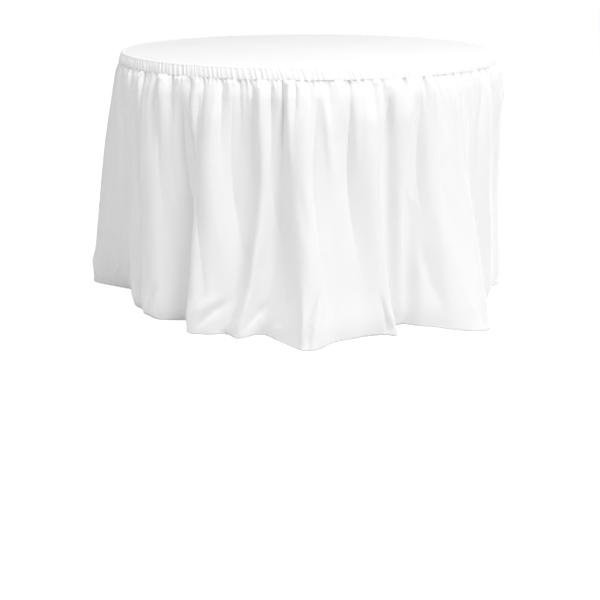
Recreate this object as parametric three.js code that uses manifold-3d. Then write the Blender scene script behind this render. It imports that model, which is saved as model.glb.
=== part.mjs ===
// A round folding banquet table dressed in a fitted, floor-length gathered cloth.
// Millimetres, +Z up. The origin is on the floor, below the middle of the table.
// Two leg frames hinge below the top and fold inwards, one above the other. Each is held by a
// stay, which pivots on the frame's centre upright and runs under a rail. The cloth is a flat top
// panel, a shirred heading on a tape, and a skirt of several fabric widths sewn side by side.
import * as THREE from 'three';
import { mergeVertices } from 'three/addons/utils/BufferGeometryUtils.js';
import Module from 'manifold-3d';

const wasm = await Module();
wasm.setup();

// ---- driving sizes -------------------------------------------------------------------------

const gap = 0.3;                     // between pieces that touch

// table top
const tableDiameter = 1200;
const tableHeight = 760;
const boardThickness = 17;
const laminateThickness = 0.9;
const trimThickness = 2.8;
const trimRounding = 3;
const stackingBlockSize = 34;
const stackingBlockHeight = 28;
const stackingBlockInset = 120;      // from the rim to the block's middle

// leg frames
const tubeRadius = 12.5;
const uprightRadius = 10;
const legUpperHalfSpacing = 280;
const footHalfSpacing = 399;
const footRimClearance = 35;         // from the foot's middle in to the rim, seen from above
const leftHingeDrop = 40;            // hinge axis below the board's underside
const layerClearance = 3;            // between the two frames when both are folded
const crossbarBelowStay = 76;        // from the stay's pivot down to the crossbar
const bendTopBelowCrossbar = 25;
const bendBottomHeight = 75;
const uprightOffset = 109;           // from the frame's middle, along the hinge axis

// hinge brackets
const bracketPlateThickness = 3;
const bracketPlateLength = 52;
const bracketPlateWidth = 44;
const bracketEarThickness = 5;
const bracketEarWall = 5;
const bracketInset = 35;             // from the leg's axis in to the ear
const pivotClearance = 0.7;

// stays
const railRimClearance = 187;        // from the end of the left rail to the rim
const stayLowerRadius = 8;
const stayUpperRadius = 6;
const stayLowerLength = 170;
const stayTaper = 8;
const stayOverlapPastPin = 4;
const lowerPinRadius = 4;
const upperPinRadius = 3;
const pinClearance = 0.4;
const slotClearance = 0.4;
const lugWall = 4;
const lugWeb = 3.4;
const lugHalfHeight = 12;
const shoeHalfLength = 16;
const shoeHalfWidth = 17;
const shoeRoof = 1.9;
const shoeBelowPin = 10;
const railThickness = 4;
const railHalfWidth = 20;
const railEndMargin = 12;
const stopLength = 14;
const stopHeight = 12;
const stopWidth = 9;

// screws
const screwHeadRadius = 5;
const screwHeadHeight = 3;
const screwShankRadius = 2.2;
const screwHoleClearance = 0.4;
const screwGrip = 11;                // depth of the shank in the board
const screwTipClearance = 1;
const bracketScrewHalfSpacing = 15;
const bracketScrewFromEar = 27;
const railScrewOffset = 14.5;

// levelling feet
const footRadius = 19;
const footThickness = 6;
const footNeckHeight = 12;
const footStemRadius = 4;
const footStemLength = 40;
const footBoreClearance = 2;
const legEndHeight = 30;
const footBoreSpare = 4;

// cloth
const clothGap = 0.4;                // between the cloth and the table
const panelThickness = 1.2;
const tapeThickness = 1;
const tapeHeight = 30;
const headingThickness = 4;
const headingHeight = 38;
const skirtThickness = 3;
const hemHeight = 2;
const hemFlare = 83;                 // how far the skirt's mean line stands out at the hem
const topFlare = 6;                  // the same, just below the heading
const foldDepth = 34;                // half the depth of a fold at the hem
const foldCount = 20;
const widthCount = 5;                // fabric widths in the skirt
const columnsPerFold = 6;
const skirtRows = 5;

// roundness
const topSides = 60;
const tubeSides = 12;
const legSteps = 16;
const holeSides = 10;
const screwSides = 8;

// ---- worked-out sizes ----------------------------------------------------------------------

const tableRadius = tableDiameter / 2;
const undersideHeight = tableHeight - laminateThickness - gap - boardThickness;
const footRadialPlace = tableRadius - footRimClearance;
const frameOffset = Math.sqrt(footRadialPlace ** 2 - footHalfSpacing ** 2);
const rightHingeDrop = leftHingeDrop + 2 * tubeRadius + layerClearance;
const stayPinToSlotFloor = Math.hypot(stayLowerRadius, stayLowerRadius) + slotClearance;
const upperEndReach = Math.hypot(stayUpperRadius, stayOverlapPastPin) + slotClearance;
const railTop = undersideHeight - gap;
const railBottom = railTop - railThickness;
const shoeTop = railBottom - gap;
const railPinHeight = shoeTop - shoeRoof - upperEndReach;

// A stay stands at 45 degrees, and lies along its rail when its frame is folded. The longest rail
// has to end inside the rim, which sets how far down the uprights the stays reach.
const railTail = shoeHalfLength + gap + screwHeadRadius + railEndMargin;
const railHalfChord = Math.sqrt(tableRadius ** 2 - (uprightOffset + railHalfWidth) ** 2);
const railReach = frameOffset + railHalfChord - railRimClearance - railTail;
const leftPinReach = railPinHeight - (undersideHeight - leftHingeDrop);
const stayRise = (railReach + leftPinReach) / (1 + Math.SQRT2);
const stayPivotHeight = railPinHeight - stayRise;
const stayLength = stayRise * Math.SQRT2;
const crossbarHeight = stayPivotHeight - crossbarBelowStay;
const bendTopHeight = crossbarHeight - bendTopBelowCrossbar;

// ---- colours and finishes ------------------------------------------------------------------

function finish(color, roughness, metalness) {
  return new THREE.MeshStandardMaterial({ color, roughness, metalness });
}

const finishes = {
  cloth: finish('#f4f4f3', 0.8, 0),
  tape: finish('#ecebe6', 0.9, 0),
  veneer: finish('#7a2a12', 0.25, 0),
  board: finish('#9a7a52', 0.8, 0),
  blackPlastic: finish('#141414', 0.5, 0),
  blackSteel: finish('#161616', 0.4, 0.6),
  zinc: finish('#a9acb0', 0.35, 1),
};

// ---- solids --------------------------------------------------------------------------------

// Merges a geometry's shared corners and loads it as a solid that can be cut and joined.
function toSolid(geometry) {
  const bare = geometry.clone();
  bare.deleteAttribute('normal');
  bare.deleteAttribute('uv');
  const merged = mergeVertices(bare, 1e-4);
  return new wasm.Manifold(new wasm.Mesh({
    numProp: 3,
    vertProperties: new Float32Array(merged.attributes.position.array),
    triVerts: new Uint32Array(merged.index.array),
  }));
}

function toGeometry(solid) {
  const { vertProperties, triVerts } = solid.getMesh();
  const geometry = new THREE.BufferGeometry();
  geometry.setAttribute('position', new THREE.BufferAttribute(new Float32Array(vertProperties), 3));
  geometry.setIndex(new THREE.BufferAttribute(new Uint32Array(triVerts), 1));
  geometry.computeVertexNormals();
  return geometry;
}

// A box between two corners.
function block(low, high) {
  const size = high.map((value, axis) => value - low[axis]);
  const middle = high.map((value, axis) => (value + low[axis]) / 2);
  const geometry = new THREE.BoxGeometry(size[0], size[1], size[2]);
  geometry.translate(middle[0], middle[1], middle[2]);
  return geometry;
}

// Turns a geometry whose axis is +Y so that it starts at one point and runs towards another.
function layAlong(geometry, from, to) {
  const start = new THREE.Vector3(...from);
  const direction = new THREE.Vector3(...to).sub(start).normalize();
  const turn = new THREE.Quaternion().setFromUnitVectors(new THREE.Vector3(0, 1, 0), direction);
  geometry.applyQuaternion(turn);
  geometry.translate(start.x, start.y, start.z);
  return geometry;
}

// A round rod between two points.
function rod(radius, from, to, sides = tubeSides) {
  const length = new THREE.Vector3(...from).distanceTo(new THREE.Vector3(...to));
  const geometry = new THREE.CylinderGeometry(radius, radius, length, sides);
  geometry.translate(0, length / 2, 0);
  return layAlong(geometry, from, to);
}

// A turned piece on the vertical axis, from [radius, height] points, lowest first.
function turned(points, sides) {
  const profile = points.map(([radius, height]) => new THREE.Vector2(radius, height));
  const geometry = new THREE.LatheGeometry(profile, sides);
  geometry.rotateX(Math.PI / 2);
  return geometry;
}

function disc(radius, low, high, sides = topSides) {
  return turned([[0, low], [radius, low], [radius, high], [0, high]], sides);
}

// A ring of rectangular section. The profile closes on itself.
function ring(inner, outer, low, high, sides = topSides) {
  return turned([[inner, low], [outer, low], [outer, high], [inner, high], [inner, low]], sides);
}

// A tube along a curve, as a solid bar.
function bentRod(radius, path, steps) {
  const corners = [];
  for (let side = 0; side < tubeSides; side += 1) {
    const angle = (2 * Math.PI * side) / tubeSides;
    corners.push(new THREE.Vector2(radius * Math.cos(angle), radius * Math.sin(angle)));
  }
  const section = new THREE.Shape(corners);
  return new THREE.ExtrudeGeometry(section, { steps, bevelEnabled: false, extrudePath: path });
}

function cut(geometry, ...cutters) {
  let solid = toSolid(geometry);
  for (const cutter of cutters) {
    solid = solid.subtract(toSolid(cutter));
  }
  return toGeometry(solid);
}

function join(...geometries) {
  let solid = toSolid(geometries[0]);
  for (const geometry of geometries.slice(1)) {
    solid = solid.add(toSolid(geometry));
  }
  return toGeometry(solid);
}

function piece(name, geometry, material) {
  const mesh = new THREE.Mesh(geometry, material);
  mesh.name = name;
  return mesh;
}

// ---- the two sides -------------------------------------------------------------------------

// Each side is built in its own frame: x runs inwards from the hinge axis and z is up from the
// floor. The right side is the left one turned half round, with its hinge set lower, so that its
// frame folds below the left one.
const sides = [
  { name: 'left', turn: 0, hingeDrop: leftHingeDrop },
  { name: 'right', turn: Math.PI, hingeDrop: rightHingeDrop },
];

for (const side of sides) {
  side.hingeHeight = undersideHeight - side.hingeDrop;
  // When folded, the stay lies along the rail, so its pin stands off the frame by this much.
  side.pinReach = railPinHeight - side.hingeHeight;
  side.shoeAtRest = side.pinReach + stayRise;
  side.shoeFolded = side.hingeHeight - stayPivotHeight + stayLength;
  side.stopEnd = side.shoeAtRest - shoeHalfLength - gap;
  side.stopStart = side.stopEnd - stopLength;
  side.outerScrew = side.stopStart - gap - screwHeadRadius;
  side.innerScrew = side.shoeFolded + shoeHalfLength + gap + screwHeadRadius;
  side.earHalf = legUpperHalfSpacing - bracketInset;
}

function placed(side, localX, localY) {
  const direction = side.turn === 0 ? 1 : -1;
  return [direction * (localX - frameOffset), direction * localY];
}

const ends = [
  { name: 'front', sign: -1 },
  { name: 'rear', sign: 1 },
];

// The end of the table that a local sign faces once its side is turned into place.
function endName(side, sign) {
  const direction = side.turn === 0 ? 1 : -1;
  return ends.find((end) => end.sign === sign * direction).name;
}

// Screw places on each side, in the side's own frame.
function bracketScrewPlaces(side) {
  const places = [];
  for (const end of ends) {
    for (const [mark, offset] of [['outer', -bracketScrewHalfSpacing], ['inner', bracketScrewHalfSpacing]]) {
      const y = end.sign * (side.earHalf - bracketScrewFromEar);
      places.push({ name: `${side.name}_${endName(side, end.sign)}_${mark}`, x: offset, y });
    }
  }
  return places;
}

function railScrewPlaces(side) {
  const y = uprightOffset + railScrewOffset;
  return [
    { name: `${side.name}_outer`, x: side.outerScrew, y },
    { name: `${side.name}_inner`, x: side.innerScrew, y },
  ];
}

function screwHole(x, y, low, high) {
  return rod(screwShankRadius + screwHoleClearance, [x, y, low], [x, y, high], holeSides);
}

// ---- table top -----------------------------------------------------------------------------

function tabletopBoard() {
  const radius = tableRadius - trimThickness - gap;
  const board = disc(radius, undersideHeight, undersideHeight + boardThickness);
  const holes = [];
  for (const side of sides) {
    for (const place of [...bracketScrewPlaces(side), ...railScrewPlaces(side)]) {
      const [x, y] = placed(side, place.x, place.y);
      const holeTop = undersideHeight + screwGrip + screwTipClearance;
      holes.push(screwHole(x, y, undersideHeight - gap, holeTop));
    }
  }
  return cut(board, ...holes);
}

function topLaminate() {
  const radius = tableRadius - trimThickness - gap;
  return disc(radius, tableHeight - laminateThickness, tableHeight);
}

// The edge trim is a ring with its two outer corners rounded.
function edgeTrim() {
  const inner = tableRadius - trimThickness;
  const outer = tableRadius;
  const rounding = Math.min(trimRounding, trimThickness * 0.9);
  const points = [[inner, undersideHeight]];
  for (const [centre, start] of [[undersideHeight + rounding, -Math.PI / 2], [tableHeight - rounding, 0]]) {
    for (const share of [0, 0.5, 1]) {
      const angle = start + share * (Math.PI / 2);
      const radius = outer - rounding + rounding * Math.cos(angle);
      points.push([radius, centre + rounding * Math.sin(angle)]);
    }
  }
  points.push([inner, tableHeight], [inner, undersideHeight]);
  return turned(points, topSides);
}

function stackingBlock(x, y) {
  const half = stackingBlockSize / 2;
  const top = undersideHeight - gap;
  return block([x - half, y - half, top - stackingBlockHeight], [x + half, y + half, top]);
}

// A pan-head wood screw, driven upwards. Its head's bearing face is at the given height.
function screw(x, y, seat, tip) {
  const profile = [
    [0, seat - screwHeadHeight],
    [screwHeadRadius * 0.6, seat - screwHeadHeight],
    [screwHeadRadius, seat - screwHeadHeight * 0.4],
    [screwHeadRadius, seat],
    [screwShankRadius, seat],
    [screwShankRadius, tip - screwShankRadius],
    [0, tip],
  ];
  const geometry = turned(profile, screwSides);
  geometry.translate(x, y, 0);
  return geometry;
}

// ---- hinge brackets ------------------------------------------------------------------------

function hingeBracket(side, sign) {
  const plateTop = undersideHeight - gap;
  const plateBottom = plateTop - bracketPlateThickness;
  const earOuter = side.earHalf + bracketEarThickness / 2;
  const earInner = side.earHalf - bracketEarThickness / 2;
  const plateInner = earOuter - bracketPlateWidth;
  const half = bracketPlateLength / 2;
  const earHalfWidth = tubeRadius + pivotClearance + bracketEarWall;
  const between = (a, b) => [Math.min(sign * a, sign * b), Math.max(sign * a, sign * b)];
  const [plateLow, plateHigh] = between(plateInner, earOuter);
  const [earLow, earHigh] = between(earInner, earOuter);
  const plate = block([-half, plateLow, plateBottom], [half, plateHigh, plateTop]);
  const ear = block([-earHalfWidth, earLow, side.hingeHeight], [earHalfWidth, earHigh, plateTop]);
  const axisLow = [0, earLow, side.hingeHeight];
  const axisHigh = [0, earHigh, side.hingeHeight];
  const eye = rod(earHalfWidth, axisLow, axisHigh, 2 * tubeSides);
  const boreLow = [0, earLow - gap, side.hingeHeight];
  const boreHigh = [0, earHigh + gap, side.hingeHeight];
  const bore = rod(tubeRadius + pivotClearance, boreLow, boreHigh, 2 * tubeSides);
  const holes = bracketScrewPlaces(side)
    .filter((place) => Math.sign(place.y) === sign)
    .map((place) => screwHole(place.x, place.y, plateBottom - gap, plateTop + gap));
  return cut(join(plate, ear, eye), bore, ...holes);
}

// ---- leg frames ----------------------------------------------------------------------------

// A leg drops straight from the pivot tube, bends outwards below the crossbar, and ends upright.
function legPath(side, sign) {
  const upper = sign * legUpperHalfSpacing;
  const lower = sign * footHalfSpacing;
  const bendThird = (bendTopHeight - bendBottomHeight) / 2.6;
  const top = new THREE.Vector3(0, upper, side.hingeHeight);
  const bendTop = new THREE.Vector3(0, upper, bendTopHeight);
  const bendBottom = new THREE.Vector3(0, lower, bendBottomHeight);
  const end = new THREE.Vector3(0, lower, legEndHeight);
  const bend = new THREE.CubicBezierCurve3(
    bendTop,
    new THREE.Vector3(0, upper, bendTopHeight - bendThird),
    new THREE.Vector3(0, lower, bendBottomHeight + bendThird),
    bendBottom,
  );
  const path = new THREE.CurvePath();
  path.add(new THREE.LineCurve3(top, bendTop));
  path.add(bend);
  path.add(new THREE.LineCurve3(bendBottom, end));
  return path;
}

function pivotTubeRod(side, radius) {
  const half = legUpperHalfSpacing + 1.4 * tubeRadius;
  return rod(radius, [0, -half, side.hingeHeight], [0, half, side.hingeHeight], 2 * tubeSides);
}

function crossbarRod(radius) {
  const half = legUpperHalfSpacing;
  return rod(radius, [0, -half, crossbarHeight], [0, half, crossbarHeight], 2 * tubeSides);
}

function leg(side, sign) {
  const bar = bentRod(tubeRadius, legPath(side, sign), legSteps);
  const y = sign * footHalfSpacing;
  const boreTop = footNeckHeight + footStemLength + footBoreSpare;
  const bore = rod(footStemRadius + footBoreClearance, [0, y, 0], [0, y, boreTop], holeSides);
  return cut(bar, pivotTubeRod(side, tubeRadius + gap), bore);
}

function crossbar() {
  const legCut = (sign) => rod(
    tubeRadius + gap,
    [0, sign * legUpperHalfSpacing, bendTopHeight],
    [0, sign * legUpperHalfSpacing, crossbarHeight + 2 * tubeRadius],
    2 * tubeSides,
  );
  return cut(crossbarRod(tubeRadius), legCut(-1), legCut(1));
}

function centreUpright(side) {
  const low = [0, uprightOffset, crossbarHeight];
  const high = [0, uprightOffset, side.hingeHeight];
  const bar = rod(uprightRadius, low, high);
  return cut(bar, crossbarRod(tubeRadius + gap), pivotTubeRod(side, tubeRadius + gap));
}

// The lug is a fork on the upright. The stay turns in its slot, from up and in to straight down.
function stayLug(side) {
  const slotHalf = stayLowerRadius + slotClearance;
  const lugHalf = slotHalf + lugWall;
  const slotFloor = side.pinReach - stayPinToSlotFloor;
  const front = side.pinReach + lowerPinRadius + lugWall;
  const low = stayPivotHeight - lugHalfHeight;
  const high = stayPivotHeight + lugHalfHeight;
  const body = block([0, uprightOffset - lugHalf, low], [front, uprightOffset + lugHalf, high]);
  const uprightCut = rod(
    uprightRadius + gap,
    [0, uprightOffset, low - gap],
    [0, uprightOffset, high + gap],
    2 * tubeSides,
  );
  const behind = block(
    [-gap, uprightOffset - lugHalf - gap, low - gap],
    [slotFloor - lugWeb, uprightOffset + lugHalf + gap, high + gap],
  );
  const slot = block(
    [slotFloor, uprightOffset - slotHalf, low - gap],
    [front + gap, uprightOffset + slotHalf, high + gap],
  );
  const hole = rod(
    lowerPinRadius + pinClearance,
    [side.pinReach, uprightOffset - lugHalf - gap, stayPivotHeight],
    [side.pinReach, uprightOffset + lugHalf + gap, stayPivotHeight],
    holeSides,
  );
  // A short lug keeps the whole of its back; a long one keeps a neck of the upright's width.
  const neckHalf = uprightRadius * 0.8;
  const neck = block([0, uprightOffset - neckHalf, low], [slotFloor, uprightOffset + neckHalf, high]);
  return cut(join(cut(body, behind, slot), neck), uprightCut, hole);
}

// ---- stays ---------------------------------------------------------------------------------

function stayPins(side) {
  return {
    lower: [side.pinReach, uprightOffset, stayPivotHeight],
    upper: [side.shoeAtRest, uprightOffset, railPinHeight],
  };
}

function pinAcross(radius, [x, y, z], half) {
  return rod(radius, [x, y - half, z], [x, y + half, z], holeSides);
}

function stayArm(side) {
  const { lower, upper } = stayPins(side);
  const startsAt = -stayLowerRadius;
  const endsAt = stayLength + stayOverlapPastPin;
  const profile = [
    [0, startsAt],
    [stayLowerRadius, startsAt],
    [stayLowerRadius, stayLowerLength],
    [stayUpperRadius, stayLowerLength + stayTaper],
    [stayUpperRadius, endsAt],
    [0, endsAt],
  ].map(([radius, along]) => new THREE.Vector2(radius, along));
  const arm = layAlong(new THREE.LatheGeometry(profile, tubeSides), lower, upper);
  const lowerHole = pinAcross(lowerPinRadius + pinClearance, lower, 2 * stayLowerRadius);
  const upperHole = pinAcross(upperPinRadius + pinClearance, upper, 2 * stayUpperRadius);
  return cut(arm, lowerHole, upperHole);
}

function lowerPin(side) {
  const half = stayLowerRadius + slotClearance + lugWall + 1;
  return pinAcross(lowerPinRadius, stayPins(side).lower, half);
}

function upperPin(side) {
  return pinAcross(upperPinRadius, stayPins(side).upper, shoeHalfWidth - 1);
}

// The shoe runs under the rail, with the stay's end in a slot that is open below.
function stayShoe(side) {
  const x = side.shoeAtRest;
  const slotHalf = stayUpperRadius + slotClearance;
  const bottom = railPinHeight - shoeBelowPin;
  const body = block(
    [x - shoeHalfLength, uprightOffset - shoeHalfWidth, bottom],
    [x + shoeHalfLength, uprightOffset + shoeHalfWidth, shoeTop],
  );
  const slot = block(
    [x - shoeHalfLength - gap, uprightOffset - slotHalf, bottom - gap],
    [x + shoeHalfLength + gap, uprightOffset + slotHalf, shoeTop - shoeRoof],
  );
  const hole = pinAcross(upperPinRadius + pinClearance, stayPins(side).upper, shoeHalfWidth + gap);
  return cut(body, slot, hole);
}

function stayRail(side) {
  const start = side.outerScrew - railEndMargin;
  const end = side.innerScrew + railEndMargin;
  const bar = block(
    [start, uprightOffset - railHalfWidth, railBottom],
    [end, uprightOffset + railHalfWidth, railTop],
  );
  const holes = railScrewPlaces(side)
    .map((place) => screwHole(place.x, place.y, railBottom - gap, railTop + gap));
  return cut(bar, ...holes);
}

// The stop stands beside the stay's path, so that only the shoe's edge meets it.
function stayStop(side) {
  const top = railBottom - gap;
  const inner = uprightOffset + railHalfWidth - stopWidth - 1;
  return block(
    [side.stopStart, inner, top - stopHeight],
    [side.stopEnd, inner + stopWidth, top],
  );
}

// ---- levelling feet ------------------------------------------------------------------------

function levellingFoot(sign) {
  const profile = [
    [0, 0],
    [footRadius - 2, 0],
    [footRadius, 2],
    [footRadius, footThickness],
    [2 * footStemRadius, footThickness + 3],
    [footStemRadius, footNeckHeight],
    [footStemRadius, footNeckHeight + footStemLength],
    [0, footNeckHeight + footStemLength],
  ];
  const geometry = turned(profile, tubeSides);
  geometry.translate(0, sign * footHalfSpacing, 0);
  return geometry;
}

function sideAssembly(side) {
  const group = new THREE.Group();
  group.position.set(side.turn === 0 ? -frameOffset : frameOffset, 0, 0);
  group.rotation.z = side.turn;
  const add = (name, geometry, material) => group.add(piece(name, geometry, material));
  for (const { sign } of ends) {
    const place = `${side.name}_${endName(side, sign)}`;
    add(`hinge_bracket_${place}`, hingeBracket(side, sign), finishes.blackSteel);
    add(`leg_${place}`, leg(side, sign), finishes.blackSteel);
    add(`levelling_foot_${place}`, levellingFoot(sign), finishes.blackPlastic);
  }
  const bracketSeat = undersideHeight - 2 * gap - bracketPlateThickness;
  for (const place of bracketScrewPlaces(side)) {
    const geometry = screw(place.x, place.y, bracketSeat, undersideHeight + screwGrip);
    add(`bracket_screw_${place.name}`, geometry, finishes.zinc);
  }
  for (const place of railScrewPlaces(side)) {
    const geometry = screw(place.x, place.y, railBottom - gap, undersideHeight + screwGrip);
    add(`rail_screw_${place.name}`, geometry, finishes.zinc);
  }
  add(`pivot_tube_${side.name}`, pivotTubeRod(side, tubeRadius), finishes.blackSteel);
  add(`crossbar_${side.name}`, crossbar(), finishes.blackSteel);
  add(`centre_upright_${side.name}`, centreUpright(side), finishes.blackSteel);
  add(`stay_lug_${side.name}`, stayLug(side), finishes.blackSteel);
  add(`stay_arm_${side.name}`, stayArm(side), finishes.blackSteel);
  add(`stay_lower_pin_${side.name}`, lowerPin(side), finishes.zinc);
  add(`stay_upper_pin_${side.name}`, upperPin(side), finishes.zinc);
  add(`stay_shoe_${side.name}`, stayShoe(side), finishes.blackPlastic);
  add(`stay_rail_${side.name}`, stayRail(side), finishes.zinc);
  add(`stay_stop_${side.name}`, stayStop(side), finishes.blackPlastic);
  return group;
}

// ---- cloth ---------------------------------------------------------------------------------

const clothUnderside = tableHeight + clothGap;
const tapeInner = tableRadius + clothGap;
const headingInner = tapeInner + tapeThickness + gap;
const headingOuter = headingInner + headingThickness;
const headingTop = clothUnderside - gap;
const headingBottom = headingTop - headingHeight;
const skirtTop = headingBottom - gap;

// The skirt's outer radius: its mean line flares towards the hem and its folds deepen with it.
function skirtRadius(angle, height) {
  const fall = (skirtTop - height) / (skirtTop - hemHeight);
  const flare = topFlare * Math.min(1, 4 * fall) + (hemFlare - topFlare) * fall;
  return headingOuter + flare + foldDepth * fall * Math.cos(foldCount * angle);
}

// One fabric width: a fluted sheet with an outer and an inner face, closed along its four edges.
function skirtWidth(startAngle, endAngle) {
  const columns = (foldCount / widthCount) * columnsPerFold;
  const positions = [];
  const indices = [];
  const corner = (column, row, layer) => (column * (skirtRows + 1) + row) * 2 + layer;
  for (let column = 0; column <= columns; column += 1) {
    const angle = startAngle + ((endAngle - startAngle) * column) / columns;
    for (let row = 0; row <= skirtRows; row += 1) {
      const height = skirtTop + ((hemHeight - skirtTop) * row) / skirtRows;
      for (const inset of [0, skirtThickness]) {
        const radius = skirtRadius(angle, height) - inset;
        positions.push(radius * Math.cos(angle), radius * Math.sin(angle), height);
      }
    }
  }
  const quad = (a, b, c, d) => indices.push(a, b, c, a, c, d);
  for (let column = 0; column < columns; column += 1) {
    const next = column + 1;
    for (let row = 0; row < skirtRows; row += 1) {
      const below = row + 1;
      quad(corner(column, row, 0), corner(column, below, 0), corner(next, below, 0), corner(next, row, 0));
      quad(corner(column, row, 1), corner(next, row, 1), corner(next, below, 1), corner(column, below, 1));
    }
    quad(corner(column, 0, 0), corner(next, 0, 0), corner(next, 0, 1), corner(column, 0, 1));
    quad(
      corner(column, skirtRows, 0),
      corner(column, skirtRows, 1),
      corner(next, skirtRows, 1),
      corner(next, skirtRows, 0),
    );
  }
  for (let row = 0; row < skirtRows; row += 1) {
    const below = row + 1;
    quad(corner(0, row, 0), corner(0, row, 1), corner(0, below, 1), corner(0, below, 0));
    quad(
      corner(columns, row, 0),
      corner(columns, below, 0),
      corner(columns, below, 1),
      corner(columns, row, 1),
    );
  }
  const geometry = new THREE.BufferGeometry();
  geometry.setAttribute('position', new THREE.Float32BufferAttribute(positions, 3));
  geometry.setIndex(indices);
  geometry.computeVertexNormals();
  return geometry;
}

function clothAssembly() {
  const group = new THREE.Group();
  const add = (name, geometry, material) => group.add(piece(name, geometry, material));
  add('top_panel', disc(headingOuter, clothUnderside, clothUnderside + panelThickness), finishes.cloth);
  const tapeLow = headingTop - tapeHeight;
  add('shirring_tape', ring(tapeInner, tapeInner + tapeThickness, tapeLow, headingTop), finishes.tape);
  add('shirred_heading', ring(headingInner, headingOuter, headingBottom, headingTop), finishes.cloth);
  // A seam's two edges stand a small gap apart, half a fold away from a ridge.
  const share = (2 * Math.PI) / widthCount;
  const seamHalfAngle = gap / tableRadius;
  const firstSeam = Math.PI / 2 - Math.PI / foldCount;
  for (let index = 0; index < widthCount; index += 1) {
    const start = firstSeam + index * share;
    const geometry = skirtWidth(start + seamHalfAngle, start + share - seamHalfAngle);
    add(`skirt_width_${index + 1}`, geometry, finishes.cloth);
  }
  return group;
}

// ---- the whole table -----------------------------------------------------------------------

const table = new THREE.Group();
table.add(piece('tabletop_board', tabletopBoard(), finishes.board));
table.add(piece('top_laminate', topLaminate(), finishes.veneer));
table.add(piece('edge_trim', edgeTrim(), finishes.blackPlastic));

const blockPlace = tableRadius - stackingBlockInset;
const blockPlaces = [
  ['left', -blockPlace, 0],
  ['right', blockPlace, 0],
  ['front', 0, -blockPlace],
  ['rear', 0, blockPlace],
];
for (const [name, x, y] of blockPlaces) {
  table.add(piece(`stacking_block_${name}`, stackingBlock(x, y), finishes.blackPlastic));
}

for (const side of sides) {
  table.add(sideAssembly(side));
}
table.add(clothAssembly());

export default table;
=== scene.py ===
import math

import bmesh
import bpy
import mathutils
import numpy as np
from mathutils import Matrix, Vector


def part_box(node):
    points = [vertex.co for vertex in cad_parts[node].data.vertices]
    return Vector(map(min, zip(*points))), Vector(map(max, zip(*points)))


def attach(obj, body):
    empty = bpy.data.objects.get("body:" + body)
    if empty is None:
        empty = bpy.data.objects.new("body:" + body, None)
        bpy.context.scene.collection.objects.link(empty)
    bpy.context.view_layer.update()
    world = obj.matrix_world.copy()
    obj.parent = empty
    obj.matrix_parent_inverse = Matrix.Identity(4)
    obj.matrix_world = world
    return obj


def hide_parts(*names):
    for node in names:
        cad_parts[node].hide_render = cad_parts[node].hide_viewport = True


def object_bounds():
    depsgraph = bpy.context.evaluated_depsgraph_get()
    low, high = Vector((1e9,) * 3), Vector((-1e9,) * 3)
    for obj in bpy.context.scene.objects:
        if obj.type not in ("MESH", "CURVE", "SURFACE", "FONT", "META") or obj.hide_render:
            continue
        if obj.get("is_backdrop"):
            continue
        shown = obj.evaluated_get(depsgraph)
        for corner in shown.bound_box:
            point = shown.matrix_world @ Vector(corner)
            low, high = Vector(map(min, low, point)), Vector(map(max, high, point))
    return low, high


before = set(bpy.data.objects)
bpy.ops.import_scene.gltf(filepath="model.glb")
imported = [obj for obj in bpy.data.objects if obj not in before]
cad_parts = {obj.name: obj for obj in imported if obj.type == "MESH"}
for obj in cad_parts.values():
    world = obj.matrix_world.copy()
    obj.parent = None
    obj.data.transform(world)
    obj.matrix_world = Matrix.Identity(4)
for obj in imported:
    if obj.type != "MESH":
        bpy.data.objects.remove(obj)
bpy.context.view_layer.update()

# Angles here are measured round the table from the front, -Y, and grow towards +X. Lengths are in metres.

# ---------------------------------------------------------------- places taken from the frame

panel_low, panel_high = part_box("top_panel")
heading_low, heading_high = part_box("shirred_heading")
tape_low, tape_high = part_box("shirring_tape")
trim_low, trim_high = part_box("edge_trim")
TABLE_R = trim_high[0]
TABLE_TOP = panel_low[2]
CLOTH_TOP = panel_high[2]
HEADING_BOTTOM = heading_low[2]
HEADING_R = heading_high[0]

# ---------------------------------------------------------------- the cloth's own sizes

FABRIC = 0.0007                 # thickness of the modelled fabric
PANEL_R = TABLE_R - 0.0078      # the top seam lies just inside the table's edge
SKIRT_FABRIC = 5.00             # all five widths, sewn up
WIDTHS = 5
HEM_HEIGHT = 0.012
HEADING_END = HEADING_BOTTOM + 0.0065
HEADING_FLAT = 0.052            # the heading's fabric, from its tucked edge to its lower edge
PLEATS = 252                    # fine pleats round the heading
CLEARANCE = 0.0035              # least distance of the skirt from the table's edge
FLOOR = 0.0012                  # least height of the hem
THREAD = 0.0005                 # thickness of the sewing thread
rng = np.random.default_rng(41)


def smooth(x):
    x = np.clip(x, 0.0, 1.0)
    return x * x * (3.0 - 2.0 * x)


def spot(angle, radius):
    """Plan position at an angle from the front, in degrees."""
    a = np.radians(angle)
    return np.stack([radius * np.sin(a), -radius * np.cos(a)], axis=-1)


def closed_spline(ax, ay, count):
    """A smooth closed curve through the points, sampled evenly in its own parameter."""
    n = len(ax)
    t = np.arange(count) / count * n
    i = np.floor(t).astype(int)
    f = t - i
    out = []
    for a in (ax, ay):
        p0, p1, p2, p3 = a[(i - 1) % n], a[i % n], a[(i + 1) % n], a[(i + 2) % n]
        m1 = 0.5 * (p2 - p0)
        m2 = 0.5 * (p3 - p1)
        h = (2 * f**3 - 3 * f**2 + 1) * p1 + (f**3 - 2 * f**2 + f) * m1
        h += (-2 * f**3 + 3 * f**2) * p2 + (f**3 - f**2) * m2
        out.append(h)
    return out


# ---------------------------------------------------------------- the skirt's large folds
# Each row: angle under the heading, angle at mid height, angle at the hem, radius at mid height, radius at the hem.
# A ridge that leans past its valley makes the fold close on itself.

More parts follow.
